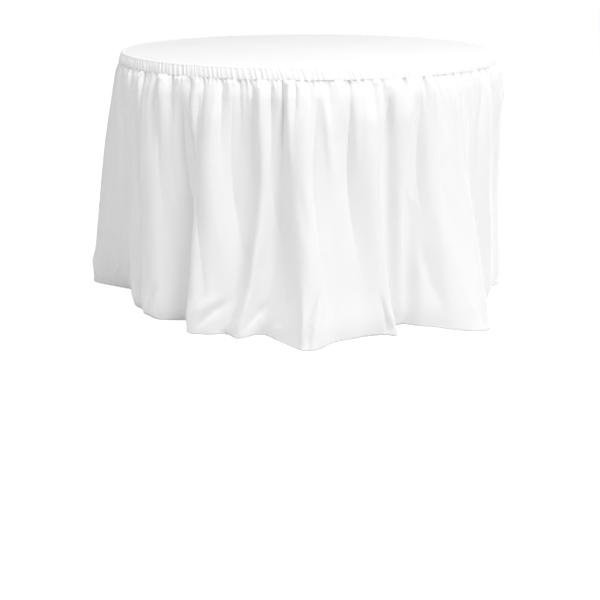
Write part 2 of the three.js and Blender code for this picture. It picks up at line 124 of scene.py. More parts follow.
folds = [
    (-101, -101, -101, 0.613, 0.628),
    (-90, -86.5, -83, 0.682, 0.723),
    (-72, -71, -70, 0.607, 0.618),
    (-60.5, -59, -57, 0.628, 0.652),
    (-53, -51, -50, 0.618, 0.648),
    (-52.5, -50, -48.5, 0.645, 0.672),
    (-44, -43.5, -41.5, 0.652, 0.668),
    (-33.5, -31, -33, 0.604, 0.618),
    (-30.5, -29.5, -30, 0.646, 0.700),
    (-25, -24.8, -25, 0.655, 0.697),
    (-16, -16, -20.5, 0.616, 0.660),
    (-11, -11.6, -16.5, 0.648, 0.696),
    (-6.5, -7.2, -11, 0.610, 0.646),
    (-0.3, 0, -0.5, 0.668, 0.748),
    (8.5, 8.8, 9.5, 0.625, 0.680),
    (16.4, 17.2, 21.4, 0.648, 0.668),
    (21.0, 21.2, 22.2, 0.604, 0.611),
    (25.0, 25.0, 26.5, 0.622, 0.616),
    (29.5, 29.0, 29.0, 0.606, 0.626),
    (35, 36, 38.5, 0.655, 0.756),
    (43, 46, 44, 0.668, 0.764),
    (51.5, 51, 50, 0.610, 0.622),
    (61, 60, 60, 0.640, 0.658),
    (69, 68.5, 68, 0.614, 0.630),
    (78, 78, 78, 0.632, 0.645),
    (87, 87, 87, 0.614, 0.622),
    (96, 96, 96, 0.640, 0.660),
]
# Behind, where the photo shows nothing, valleys and ridges take turns at random.
angle = folds[-1][0]
while angle < 230:
    angle += rng.uniform(8.0, 10.5)
    low = rng.uniform(0.602, 0.609)
    folds.append((angle, angle + rng.uniform(-0.6, 0.6), angle + rng.uniform(-1.5, 1.5),
                  low, low + rng.uniform(0.006, 0.024)))
    angle += rng.uniform(7.5, 10.5)
    high = rng.uniform(0.652, 0.686)
    lean = rng.choice([-1.0, 1.0]) * rng.uniform(0.0, 2.0)
    folds.append((angle, angle + lean * 0.5, angle + lean, high, high + rng.uniform(0.03, 0.07)))
folds = np.array(folds, float)
SKIRT_TOP_R = HEADING_R + 0.0062
FIRST_FOLD = 4             # the valley that the first seam lies in
SEAM_ANGLE = float(folds[FIRST_FOLD, 0])

# ---------------------------------------------------------------- the skirt's surface

COLUMNS = 2200
ROWS = np.concatenate([    # distance down from the heading, close together at the gathers and the hem
    np.arange(0, 0.060, 0.0028),
    np.arange(0.060, 0.16, 0.005),
    np.arange(0.16, 0.66, 0.0085),
    np.arange(0.66, 0.735, 0.004),
])
DROP = ROWS[-1]
SHARE = ROWS / DROP
PLAN_POINTS = 24000        # points of a row's plan curve, before its columns are picked
EVEN = np.arange(PLAN_POINTS) / PLAN_POINTS                # even steps over one turn, 0 to 1

GATHERS = 74               # pockets just under the heading
MIDS = 42                  # folds that fade out on the way down
FINE_DEPTH = 0.0024        # pleats that run on from the heading
GATHER_DEPTH = 0.0165
MID_DEPTH = 0.0185
LOW_DEPTH = 0.0035         # soft waves in the lower part


def uneven(count, spread):
    """The edges of count waves over one turn (0 to 1), with uneven pitches."""
    pitch = rng.uniform(1 - spread, 1 + spread, count)
    return np.concatenate([[0.0], np.cumsum(pitch)]) / pitch.sum()


fine_edges = uneven(PLEATS, 0.38)
gather_edges = uneven(GATHERS, 0.45)
mid_edges = uneven(MIDS, 0.38)
fine_size = rng.uniform(0.25, 1.45, PLEATS)
gather_size = rng.uniform(0.2, 1.35, GATHERS)
gather_reach = rng.uniform(0.05, 0.36, GATHERS)
gather_rise = rng.uniform(0.007, 0.034, GATHERS)
mid_size = rng.uniform(0.3, 1.3, MIDS)
mid_reach = rng.uniform(0.25, 0.8, MIDS)


def wave_phase(s, edges):
    """A phase that grows by one over each wave."""
    return np.interp(s, edges, np.arange(len(edges)))


def by_phase(phase, values):
    """A value for each wave, blended from one to the next, at any phase: past the last wave it starts again."""
    n = len(values)
    return np.interp(np.mod(phase, n), np.arange(n + 1), np.append(values, values[0]))


def per_wave(s, edges, values):
    """A value for each wave, at its full size in the middle of the wave."""
    return by_phase(wave_phase(s, edges) - 0.5, values)


def wave(s, edges, sizes, lean):
    """Rounded waves over s (0 to 1), one between each two edges, each with its own size."""
    p = 2 * np.pi * wave_phase(s, edges)
    return per_wave(s, edges, sizes) * np.cos(p + lean * np.sin(p))


def pocket(s, edges, sizes):
    """Rounded ridges with sharp creases between them, one ridge between each two edges."""
    return per_wave(s, edges, sizes) * np.abs(np.sin(np.pi * wave_phase(s, edges))) ** 0.8


def fold_base(share):
    """The plan curve of the large folds at a share of the drop: a smooth run through three heights."""
    a = (1 - share) * (1 - 2 * share)
    b = 4 * share * (1 - share)
    c = share * (2 * share - 1)
    ang = folds[:, 0] * a + folds[:, 1] * b + folds[:, 2] * c
    rad = SKIRT_TOP_R * a + folds[:, 3] * b + folds[:, 4] * c
    # Just under the heading the fabric swings out before it falls.
    rad = rad + 0.007 * smooth(share / 0.07) * (1 - smooth((share - 0.07) / 0.5))
    p = np.roll(spot(ang, rad), -FIRST_FOLD, axis=0)
    return closed_spline(p[:, 0], p[:, 1], PLAN_POINTS)


def even_length(x, y):
    """The same closed curve, with its points at even steps along it."""
    x, y = np.append(x, x[0]), np.append(y, y[0])
    s = np.concatenate([[0.0], np.cumsum(np.hypot(np.diff(x), np.diff(y)))])
    target = EVEN * s[-1]
    return np.interp(target, s, x), np.interp(target, s, y)


def smooth_ring(a, width):
    """Values round a ring, blurred over a few points."""
    k = np.exp(-0.5 * (np.arange(-3 * width, 3 * width + 1) / width) ** 2)
    k /= k.sum()
    pad = np.concatenate([a[-3 * width:], a, a[:3 * width]])
    return np.convolve(pad, k, mode="valid")


def plan_row(share):
    """The plan curve of one row: the large folds with pleats, pockets, middle folds and low waves on them."""
    x, y = even_length(*fold_base(share))
    x, y = smooth_ring(x, 26), smooth_ring(y, 26)
    tx = np.gradient(x)
    ty = np.gradient(y)
    n = np.hypot(tx, ty)
    nx, ny = ty / n, -tx / n
    depth = share * DROP
    strength = FINE_DEPTH * (0.4 + 0.6 * smooth(depth / 0.006)) * (1 - smooth(depth / 0.026))
    fine = strength * wave(EVEN, fine_edges, fine_size, 0.4)
    rise = per_wave(EVEN, gather_edges, gather_rise)
    reach = per_wave(EVEN, gather_edges, gather_reach)
    strength = GATHER_DEPTH * smooth((depth + 0.002) / rise) * (1 - smooth((depth - 0.02) / reach))
    gather = strength * (pocket(EVEN, gather_edges, gather_size) - 0.25)
    reach = per_wave(EVEN, mid_edges, mid_reach)
    strength = MID_DEPTH * smooth((depth - 0.01) / 0.11) * (1 - smooth((depth - 0.08) / reach))
    mid = strength * (pocket(EVEN + 0.003 * math.sin(5 * share), mid_edges, mid_size) - 0.3)
    low = LOW_DEPTH * smooth((depth - 0.25) / 0.3) * wave(EVEN + 0.01 * share, mid_edges, mid_size, 0.2)
    off = fine + gather + mid + low
    return x + nx * off, y + ny * off


def skirt_points():
    """The skirt's grid in plan, with its columns at even steps along each row."""
    pick = np.arange(COLUMNS) / COLUMNS * PLAN_POINTS
    near = np.floor(pick).astype(int)
    part = pick - near
    grid = np.zeros((len(ROWS), COLUMNS, 3))
    for j, share in enumerate(SHARE):
        for axis, line in enumerate(plan_row(share)):
            grid[j, :, axis] = line[near] * (1 - part) + line[(near + 1) % PLAN_POINTS] * part
    return grid


points = skirt_points()

# The rows hang evenly from the heading to the floor.
top_z = HEADING_END + 0.0010
points[:, :, 2] = top_z - (top_z - FLOOR) * SHARE[:, None]

# ---------------------------------------------------------------- creases and softness

CREASE_R = 0.66            # radius that turns a crease's angles into lengths
ang_grid = np.degrees(np.arctan2(points[:, :, 0], -points[:, :, 1]))
radial = np.stack([np.sin(np.radians(ang_grid)), -np.cos(np.radians(ang_grid))], axis=-1)


def away(a0):
    """How far every point of the skirt lies from an angle, in degrees, -180 to 180."""
    return (ang_grid - a0 + 180) % 360 - 180


def crease(a0, z0, a1, z1, width, height, bend):
    """A soft ridge, or a groove if height is negative, from one point of the skirt to another."""
    ax = math.radians(a0) * CREASE_R
    dx, dz = math.radians(a1) * CREASE_R - ax, z1 - z0
    px = np.radians(a0 + away(a0)) * CREASE_R
    pz = points[:, :, 2]
    length = math.hypot(dx, dz)
    along = ((px - ax) * dx + (pz - z0) * dz) / length**2
    side = ((px - ax) * dz - (pz - z0) * dx) / length
    side = side - bend * 4 * along * (1 - along)
    ends = smooth(along / 0.42) * smooth((1 - along) / 0.42)
    push = height * ends * np.exp(-((side / width) ** 2))
    points[:, :, :2] += radial * push[:, :, None]


# Each row: angle and height where the crease starts, the same where it ends, its width, depth and bend.
creases = [
    (-29.0, -0.002, -19.0, 0.110, 0.012, -0.012, -0.007),
    (-28.0, 0.045, -21.5, 0.125, 0.013, 0.007, -0.006),
    (-22.5, 0.004, -15.0, 0.060, 0.009, 0.007, -0.004),
    (-17.0, -0.004, -9.0, 0.110, 0.012, -0.012, -0.007),
    (-19.0, 0.040, -13.5, 0.140, 0.014, 0.005, -0.004),
    (-9.5, 0.004, -5.5, 0.050, 0.009, 0.006, -0.003),
    (-0.2, -0.040, 3.4, 0.170, 0.0075, -0.015, -0.010),
    (-1.3, -0.03, -0.9, 0.190, 0.008, 0.008, 0.0),
    (3.4, -0.02, 5.5, 0.110, 0.010, 0.006, -0.004),
    (20.6, -0.03, 18.0, 0.135, 0.0075, -0.012, 0.003),
    (23.0, -0.01, 20.5, 0.085, 0.009, 0.010, -0.004),
    (36, 0.02, 31, 0.30, 0.014, -0.006, -0.010),
    (41, -0.01, 36.5, 0.32, 0.012, 0.006, -0.008),
    (-47, 0.0, -41, 0.12, 0.013, -0.007, -0.005),
    (4, 0.72, 6.5, 0.42, 0.012, 0.007, 0.0),
    (-4.2, 0.72, -4.6, 0.44, 0.011, 0.007, 0.0),
    (11.5, 0.72, 12.5, 0.45, 0.012, 0.005, 0.0),
]
for row in creases:
    crease(*row)
# Tucks at the foot of the skirt, at the sides and behind.
for _ in range(16):
    a0 = rng.uniform(60, 300)
    tilt = rng.choice([-1, 1]) * rng.uniform(3, 8)
    crease(a0, 0.004, a0 + tilt, rng.uniform(0.07, 0.14), 0.010,
           rng.choice([-1, 1]) * rng.uniform(0.006, 0.012), rng.uniform(-0.006, 0.006))
# Faint creases anywhere.
for _ in range(46):
    a0 = rng.uniform(-180, 180)
    z0 = rng.uniform(0.03, 0.5)
    crease(a0, z0, a0 + rng.uniform(-5, 5), z0 + rng.uniform(0.08, 0.26), rng.uniform(0.010, 0.022),
           rng.choice([-1, 1]) * rng.uniform(0.0012, 0.003), rng.uniform(-0.006, 0.006))


def soft_noise(count, across, down, amount):
    """Sums of long soft waves, so that no part of the skirt is dead flat."""
    total = np.zeros(points.shape[:2])
    u = np.arange(COLUMNS) / COLUMNS
    for _ in range(count):
        k = round(rng.uniform(*across))
        q = rng.uniform(*down)
        size = rng.uniform(0.4, 1.0)
        total += size * np.cos(2 * np.pi * (k * u[None, :] + q * ROWS[:, None]) + rng.uniform(0, 6.28))
    return total * amount / math.sqrt(count)


fade = smooth((ROWS - 0.02) / 0.15)[:, None]
soft = soft_noise(26, (14, 52), (-2.2, 2.2), 0.0022) * fade
points[:, :, :2] += radial * soft[:, :, None]
points[:, :, 2] = np.maximum(points[:, :, 2], FLOOR)

# Where a fold is a little too long for its place, it breaks on the floor and kicks outwards.
# Each row: angle, width in degrees, reach, height.
kicks = [
    (-1, 4.5, 0.014, 0.05),
    (22.3, 2.6, 0.026, 0.05),
    (41, 6, 0.016, 0.05),
    (-50, 3, 0.006, 0.05),
    (-22, 3, 0.006, 0.04),
]
for a0 in rng.uniform(70, 290, 12):
    kicks.append((a0, rng.uniform(3, 7), rng.uniform(0.004, 0.013), rng.uniform(0.03, 0.06)))
curl = np.clip(1 - points[:, :, 2] / 0.050, 0, 1) ** 2
belly = np.exp(-(((points[:, :, 2] - 0.062) / 0.035) ** 2))
points[:, :, :2] += radial * (0.0035 * belly - 0.011 * curl)[:, :, None]
for a0, wide, reach, tall in kicks:
    ramp_up = np.clip(1 - points[:, :, 2] / tall, 0, 1) ** 2
    points[:, :, :2] += radial * (reach * np.exp(-((away(a0) / wide) ** 2)) * ramp_up)[:, :, None]

# The hem isn't dead level: between the folds that stand on the floor it lifts a few millimetres.
lift = np.zeros_like(ang_grid)
for k in (5, 9, 14, 23):
    lift += np.cos(np.radians(ang_grid) * k + rng.uniform(0, 6.28)) / k**0.5
lift = np.clip(lift, 0, None) * 0.0032
points[:, :, 2] += lift * np.clip(1 - points[:, :, 2] / 0.25, 0, 1) ** 2

# The fabric keeps clear of the table.
rad_now = np.hypot(points[:, :, 0], points[:, :, 1])
scale = np.maximum(rad_now, TABLE_R + CLEARANCE) / rad_now
points[:, :, :2] *= scale[:, :, None]

# ---------------------------------------------------------------- materials


def new_material(name):
    m = bpy.data.materials.new(name)
    m.use_nodes = True
    tree = m.node_tree
    tree.nodes.clear()
    out = tree.nodes.new("ShaderNodeOutputMaterial")
    shader = tree.nodes.new("ShaderNodeBsdfPrincipled")
    tree.links.new(shader.outputs[0], out.inputs[0])
    return m, tree, shader


def node(tree, kind, **values):
    n = tree.nodes.new(kind)
    for key, value in values.items():
        setattr(n, key, value)
    return n


def mapping(tree, source, scale):
    m = node(tree, "ShaderNodeMapping")
    m.inputs["Scale"].default_value = scale
    tree.links.new(source, m.inputs["Vector"])
    return m.outputs[0]


def noise(tree, vector, scale, detail=3.0, rough=0.5):
    n = node(tree, "ShaderNodeTexNoise")
    n.inputs["Scale"].default_value = scale
    n.inputs["Detail"].default_value = detail
    n.inputs["Roughness"].default_value = rough
    tree.links.new(vector, n.inputs["Vector"])
    return n.outputs[0]


def ramp(tree, source, stops):
    r = node(tree, "ShaderNodeValToRGB")
    e = r.color_ramp.elements
    while len(e) < len(stops):
        e.new(0.5)
    for item, (place, colour) in zip(e, stops):
        item.position = place
        item.color = (*colour, 1.0)
    tree.links.new(source, r.inputs[0])
    return r.outputs[0]


def grey(value):
    return (value, value, value)


def maths(tree, what, a, b=None, clamp=False):
    m = node(tree, "ShaderNodeMath", operation=what, use_clamp=clamp)
    for i, v in enumerate((a, b)):
        if v is None:
            continue
        if isinstance(v, (int, float)):
            m.inputs[i].default_value = v
        else:
            tree.links.new(v, m.inputs[i])
    return m.outputs[0]


def times(tree, a, b):
    return maths(tree, "MULTIPLY", a, b)


def plus(tree, a, b):
    return maths(tree, "ADD", a, b)


def bump(tree, height, distance, strength, after=None):
    """The normal of a bump, laid over an earlier one if there is one."""
    b = node(tree, "ShaderNodeBump")
    b.inputs["Strength"].default_value = strength
    b.inputs["Distance"].default_value = distance
    tree.links.new(height, b.inputs["Height"])
    if after is not None:
        tree.links.new(after, b.inputs["Normal"])
    return b.outputs[0]


def cloth_material(name, colour, pitch=0.0005, weave=0.00006, sheen=0.35, rough=0.78):
    """Plain woven polyester: threads that go over and under, along the fabric's own directions, with slubs,
    soft creases and sheen."""
    m, tree, shader = new_material(name)
    source = node(tree, "ShaderNodeAttribute", attribute_name="fabric").outputs["Vector"]
    split = node(tree, "ShaderNodeSeparateXYZ")
    tree.links.new(source, split.inputs[0])
    per_metre = math.pi / pitch
    warp = maths(tree, "ABSOLUTE", maths(tree, "SINE", times(tree, split.outputs[0], per_metre)))
    weft = maths(tree, "ABSOLUTE", maths(tree, "SINE", times(tree, split.outputs[1], per_metre)))
    checker = node(tree, "ShaderNodeTexChecker")
    checker.inputs["Scale"].default_value = 1.0 / pitch
    checker.inputs["Color1"].default_value = (1, 1, 1, 1)
    checker.inputs["Color2"].default_value = (0, 0, 0, 1)
    tree.links.new(source, checker.inputs["Vector"])
    mix = node(tree, "ShaderNodeMix", data_type="FLOAT")
    tree.links.new(checker.outputs["Fac"], mix.inputs[0])
    tree.links.new(warp, mix.inputs[2])
    tree.links.new(weft, mix.inputs[3])
    threads = mix.outputs[0]
    slub_u = noise(tree, mapping(tree, source, (60.0, 1400.0, 1.0)), 1.0, 2.0)
    slub_v = noise(tree, mapping(tree, source, (1400.0, 60.0, 1.0)), 1.0, 2.0)
    slubs = plus(tree, slub_u, slub_v)
    patch = noise(tree, mapping(tree, source, (7.0, 5.0, 1.0)), 1.0, 4.0, 0.55)
    shade = plus(tree, times(tree, slubs, 0.28), times(tree, patch, 0.35))
    low = tuple(c * 0.955 for c in colour)
    high = (colour[0], colour[1], min(colour[2] * 1.008, 1.0))
    tree.links.new(ramp(tree, shade, [(0.22, low), (0.62, high)]), shader.inputs["Base Color"])
    shine = ramp(tree, patch, [(0.3, grey(rough - 0.05)), (0.7, grey(rough + 0.06))])
    tree.links.new(shine, shader.inputs["Roughness"])
    shader.inputs["Sheen Weight"].default_value = sheen
    shader.inputs["Sheen Roughness"].default_value = 0.45
    shader.inputs["Sheen Tint"].default_value = (1, 1, 1, 1)
    shader.inputs["Specular IOR Level"].default_value = 0.32
    crush = noise(tree, mapping(tree, source, (32.0, 14.0, 1.0)), 1.0, 5.0, 0.6)
    crushed = bump(tree, crush, 0.0009, 0.55)
    height = plus(tree, threads, times(tree, slubs, 0.5))
    tree.links.new(bump(tree, height, weave, 0.8, crushed), shader.inputs["Normal"])
    return m


def paint_material(name, colour, rough, grain, depth, wear, metallic=0.0, coat=0.0, bare=(0.45, 0.45, 0.46)):
    """Powder coat, moulded plastic or plated metal: a fine grain, small scratches and paler worn edges."""
    m, tree, shader = new_material(name)
    source = node(tree, "ShaderNodeTexCoord").outputs["Object"]
    fine = noise(tree, source, grain, 2.0)
    cloud = noise(tree, source, 18.0, 4.0, 0.6)
    scratch = noise(tree, mapping(tree, source, (900.0, 900.0, 22.0)), 1.0, 2.0)
    low = tuple(c * 0.86 for c in colour)
    high = tuple(min(c * 1.12 + 0.004, 1.0) for c in colour)
    base = ramp(tree, cloud, [(0.3, low), (0.7, high)])
    geometry = node(tree, "ShaderNodeNewGeometry")
    edge = ramp(tree, geometry.outputs["Pointiness"], [(0.50, grey(0)), (0.62, grey(1))])
    marks = ramp(tree, scratch, [(0.66, grey(0)), (0.74, grey(1))])
    worn = plus(tree, times(tree, edge, 0.8), times(tree, marks, 0.5))
    mix = node(tree, "ShaderNodeMix", data_type="RGBA")
    tree.links.new(maths(tree, "MULTIPLY", worn, wear, True), mix.inputs[0])
    tree.links.new(base, mix.inputs[6])
    mix.inputs[7].default_value = (*bare, 1.0)
    tree.links.new(mix.outputs[2], shader.inputs["Base Color"])
    shine = ramp(tree, cloud, [(0.3, grey(max(rough - 0.06, 0.05))), (0.75, grey(min(rough + 0.08, 1.0)))])
    tree.links.new(shine, shader.inputs["Roughness"])
    shader.inputs["Metallic"].default_value = metallic
    shader.inputs["Coat Weight"].default_value = coat
    shader.inputs["Coat Roughness"].default_value = 0.2
    height = plus(tree, fine, times(tree, marks, -0.3))
    tree.links.new(bump(tree, height, depth, 0.6), shader.inputs["Normal"])
    return m


def laminate_material(name):
    """Red-brown wood-print laminate under a clear wear layer."""
    m, tree, shader = new_material(name)
    source = node(tree, "ShaderNodeTexCoord").outputs["Object"]
    bend = noise(tree, mapping(tree, source, (0.8, 3.0, 1.0)), 1.0, 3.0)
    w = node(tree, "ShaderNodeTexWave", wave_type="BANDS", bands_direction="Y")
    w.inputs["Scale"].default_value = 6.0
    w.inputs["Distortion"].default_value = 9.0
    w.inputs["Detail"].default_value = 4.0
    w.inputs["Detail Scale"].default_value = 1.2
    tree.links.new(mapping(tree, source, (0.35, 1.6, 1.0)), w.inputs["Vector"])
    pores = noise(tree, mapping(tree, source, (60.0, 1300.0, 60.0)), 1.0, 2.0)
    marks = plus(tree, times(tree, bend, 0.3), times(tree, pores, 0.22))
    figure = plus(tree, times(tree, w.outputs["Fac"], 0.6), marks)
    wood = ramp(tree, figure, [(0.22, (0.085, 0.016, 0.008)), (0.5, (0.26, 0.062, 0.026)), (0.85, (0.42, 0.13, 0.055))])
    tree.links.new(wood, shader.inputs["Base Color"])
    tree.links.new(ramp(tree, pores, [(0.3, grey(0.32)), (0.7, grey(0.22))]), shader.inputs["Roughness"])
    shader.inputs["Coat Weight"].default_value = 0.5
    shader.inputs["Coat Roughness"].default_value = 0.12
    tree.links.new(bump(tree, pores, 0.00008, 0.5), shader.inputs["Normal"])
    return m


PLY = 0.0034               # two plies of the board


def plywood_material(name):
    """Plain birch board: pale veneer with darker plies round the edge."""
    m, tree, shader = new_material(name)
    source = node(tree, "ShaderNodeTexCoord").outputs["Object"]
    split = node(tree, "ShaderNodeSeparateXYZ")
    tree.links.new(source, split.inputs[0])
    grain = noise(tree, mapping(tree, source, (6.0, 160.0, 60.0)), 1.0, 4.0, 0.6)
    plies = maths(tree, "SINE", times(tree, split.outputs[2], 2 * math.pi / PLY))
    figure = plus(tree, times(tree, grain, 0.8), times(tree, plies, 0.10))
    wood = ramp(tree, figure, [(0.2, (0.36, 0.21, 0.10)), (0.5, (0.55, 0.37, 0.20)), (0.8, (0.66, 0.48, 0.29))])
    tree.links.new(wood, shader.inputs["Base Color"])
    tree.links.new(ramp(tree, grain, [(0.3, grey(0.72)), (0.7, grey(0.58))]), shader.inputs["Roughness"])
    tree.links.new(bump(tree, grain, 0.0003, 0.5), shader.inputs["Normal"])
    return m


WHITE = (0.802, 0.802, 0.802)
mat_skirt = cloth_material("cloth_white", WHITE)
mat_top = cloth_material("cloth_white_top", WHITE, rough=0.74)
mat_heading = cloth_material("cloth_white_heading", WHITE, sheen=0.3)
mat_tape = cloth_material("woven_tape", (0.80, 0.80, 0.78), pitch=0.0012, weave=0.0003, sheen=0.15,
                          rough=0.85)
mat_thread = paint_material("thread_white", (0.84, 0.84, 0.83), 0.62, 2500.0, 0.0001, 0.0)
mat_laminate = laminate_material("laminate_red_brown")
mat_board = plywood_material("birch_plywood")
mat_edge = paint_material("edge_trim_black", (0.012, 0.012, 0.013), 0.32, 900.0, 0.00012, 0.25,
                          bare=(0.10, 0.10, 0.10))
mat_steel = paint_material("powder_coat_black", (0.007, 0.007, 0.0075), 0.40, 1500.0, 0.00018, 0.22,
                           coat=0.05, bare=(0.10, 0.10, 0.105))
mat_block = paint_material("moulded_black", (0.018, 0.018, 0.019), 0.58, 700.0, 0.0002, 0.3,
                           bare=(0.09, 0.09, 0.09))
mat_foot = paint_material("foot_plastic_black", (0.022, 0.022, 0.023), 0.62, 1100.0, 0.00015, 0.5,
                          bare=(0.14, 0.13, 0.12))
mat_zinc = paint_material("zinc_plate", (0.52, 0.53, 0.54), 0.34, 1200.0, 0.0001, 0.5, metallic=1.0,
                          bare=(0.78, 0.78, 0.76))

by_name = {
    "tabletop_board": mat_board,
    "top_laminate": mat_laminate,
    "edge_trim": mat_edge,
    "stacking_block": mat_block,
    "hinge_bracket": mat_steel,
    "bracket_screw": mat_zinc,
    "stay_rail": mat_zinc,
    "stay_stop": mat_block,
    "rail_screw": mat_zinc,
    "pivot_tube": mat_steel,
    "leg_": mat_steel,
    "crossbar": mat_steel,
    "centre_upright": mat_steel,
    "stay_lug": mat_steel,
    "stay_arm": mat_steel,
    "stay_lower_pin": mat_zinc,
    "stay_upper_pin": mat_zinc,
    "stay_shoe": mat_zinc,
    "levelling_foot": mat_foot,
}
for name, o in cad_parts.items():
    for start, material in by_name.items():
        if name.startswith(start):
            if not o.material_slots:
                o.data.materials.append(material)
            for s in o.material_slots:
                s.material = material
            break

# ---------------------------------------------------------------- building helpers


def mesh_object(name, co, quads, fabric=None, material=None):
    me = bpy.data.meshes.new(name)
    me.vertices.add(len(co))
    me.vertices.foreach_set("co", np.asarray(co, dtype=np.float32).ravel())
    quads = np.asarray(quads, dtype=np.int32)
    me.loops.add(quads.size)
    me.loops.foreach_set("vertex_index", quads.ravel())
    me.polygons.add(len(quads))
    me.polygons.foreach_set("loop_start", np.arange(len(quads), dtype=np.int32) * quads.shape[1])
    me.polygons.foreach_set("loop_total", np.full(len(quads), quads.shape[1], dtype=np.int32))
    me.polygons.foreach_set("use_smooth", np.full(len(quads), True))
    me.update(calc_edges=True)
    me.validate()
    if fabric is not None:
        a = me.attributes.new("fabric", "FLOAT_VECTOR", "POINT")
        a.data.foreach_set("vector", np.asarray(fabric, dtype=np.float32).ravel())
    o = bpy.data.objects.new(name, me)
    bpy.context.scene.collection.objects.link(o)
    if material is not None:
        me.materials.append(material)
    return o


def face_outwards(o):
    """Turns the faces of a sheet round the table so that they look away from it."""
    count = len(o.data.polygons)
    n, c = np.zeros(count * 3), np.zeros(count * 3)
    o.data.polygons.foreach_get("normal", n)
    o.data.polygons.foreach_get("center", c)
    if (n.reshape(-1, 3)[:, :2] * c.reshape(-1, 3)[:, :2]).sum() < 0:
        o.data.flip_normals()


def grid_quads(rows, cols, wrap=False):
    j, i = np.meshgrid(np.arange(rows - 1), np.arange(cols if wrap else cols - 1), indexing="ij")
    a = j * cols + i
    b = j * cols + (i + 1) % cols
    c = (j + 1) * cols + (i + 1) % cols
    d = (j + 1) * cols + i
    return np.stack([a, d, c, b], axis=-1).reshape(-1, 4)


def thicken(o, amount, offset):
    m = o.modifiers.new("thickness", "SOLIDIFY")
    m.thickness = amount
    m.offset = offset
    m.use_even_offset = False
    m.use_rim = True
    bpy.context.view_layer.objects.active = o
    with bpy.context.temp_override(object=o, active_object=o, selected_objects=[o]):
        bpy.ops.object.modifier_apply(modifier=m.name)


def surface_normals(p):
    """Outward normals of a sheet that goes round the table, given as a grid of points."""
    across = np.roll(p, -1, axis=1) - np.roll(p, 1, axis=1)
    n = np.cross(np.gradient(p, axis=0), across)
    n /= np.maximum(np.linalg.norm(n, axis=-1, keepdims=True), 1e-9)
    middle = len(p) // 2
    if (n[middle, :, :2] * p[middle, :, :2]).sum() < 0:
        n = -n
    return n


STITCH_LIFT = (-0.45, 0.25, 0.55, 0.25, -0.45)     # how far each ring of a stitch stands off, in thread thicknesses
STITCH_SIDES = 5


def stitches(name, path, normal, pitch, length):
    """A row of sewn stitches round a closed path: each is a short thread that dips into the cloth at both ends."""
    path = np.concatenate([path, path[:1]])
    normal = np.concatenate([normal, normal[:1]])
    s = np.concatenate([[0.0], np.cumsum(np.linalg.norm(np.diff(path, axis=0), axis=1))])
    count = int(s[-1] / pitch)
    rings = len(STITCH_LIFT)
    co, quads = [], []
    for k in range(count):
        at = (k + 0.5) * s[-1] / count + np.linspace(-0.5, 0.5, rings) * length
        at = np.clip(at, 0, s[-1])
        p = np.stack([np.interp(at, s, path[:, c]) for c in range(3)], axis=-1)
        n = np.stack([np.interp(at, s, normal[:, c]) for c in range(3)], axis=-1)
        n /= np.linalg.norm(n, axis=1, keepdims=True)
        t = np.gradient(p, axis=0)
        t /= np.maximum(np.linalg.norm(t, axis=1, keepdims=True), 1e-9)
        b = np.cross(t, n)
        for q in range(rings):
            centre = p[q] + n[q] * STITCH_LIFT[q] * THREAD
            wide = THREAD * (0.42 if q in (0, rings - 1) else 0.5)
            for a in np.arange(STITCH_SIDES) / STITCH_SIDES * 2 * math.pi:
                co.append(centre + (math.cos(a) * n[q] + math.sin(a) * b[q]) * wide)
        for q in range(rings - 1):
            start = (k * rings + q) * STITCH_SIDES
            for a in range(STITCH_SIDES):
                i0 = start + a
                i1 = start + (a + 1) % STITCH_SIDES
                quads.append((i0, i1, i1 + STITCH_SIDES, i0 + STITCH_SIDES))
    return mesh_object(name, np.array(co), np.array(quads), None, mat_thread)


# ---------------------------------------------------------------- top panel

# The rings are wide apart in the middle and close together near the edge, where the seam is.
middle_rings = np.linspace(0.0, 0.9, 40) ** 0.8 * PANEL_R * 0.97 / 0.9**0.8
RINGS = np.concatenate([middle_rings, np.linspace(0.972, 1.0, 18) * PANEL_R])
RINGS = np.unique(np.round(RINGS, 6))[1:]
PANEL_COLS = PLEATS * 3
pa = np.arange(PANEL_COLS) / PANEL_COLS * 360.0


def seam_z(a):
    """Height of the top seam: it sits on the table top with the smallest of waves."""
    r = np.radians(a)
    return CLOTH_TOP - 0.0002 + 0.0002 * np.sin(7 * r + 1.0) + 0.00015 * np.sin(19 * r)


panel = np.zeros((len(RINGS), PANEL_COLS, 3))
pucker_phase = wave_phase(np.mod(pa - SEAM_ANGLE, 360) / 360, fine_edges)
pucker_size = by_phase(pucker_phase, fine_size)
for j, r in enumerate(RINGS):
    xy = spot(pa, r)
    inner = PANEL_R - r    # distance inside the seam
    calm = smooth(inner / 0.03)
    wide = 0.00045 * (np.sin(3.1 * xy[:, 0] * 4 + 1) * np.cos(2.3 * xy[:, 1] * 5)
                      + 0.6 * np.sin(11 * xy[:, 0] - 7 * xy[:, 1]))
    pucker = 0.00035 * math.exp(-inner / 0.010) * np.cos(2 * np.pi * pucker_phase) * pucker_size
    allowance = 0.0006 * (smooth(inner / 0.0015) - smooth((inner - 0.009) / 0.003)) if inner > 0 else 0.0
    dip = -0.0002 * math.exp(-((inner / 0.0030) ** 2))
    panel[j, :, :2] = xy
    panel[j, :, 2] = seam_z(pa) + wide * calm + pucker + allowance + dip
centre = np.array([[0.0, 0.0, float(panel[0, :, 2].mean())]])
co = np.concatenate([panel.reshape(-1, 3), centre])
quads = grid_quads(len(RINGS), PANEL_COLS, wrap=True)[:, ::-1]
flat = np.concatenate([panel[:, :, :2].reshape(-1, 2), [[0.0, 0.0]]])
fabric = np.concatenate([flat, np.zeros((len(flat), 1))], axis=1)
top = mesh_object("cloth_top", co, quads, fabric, mat_top)
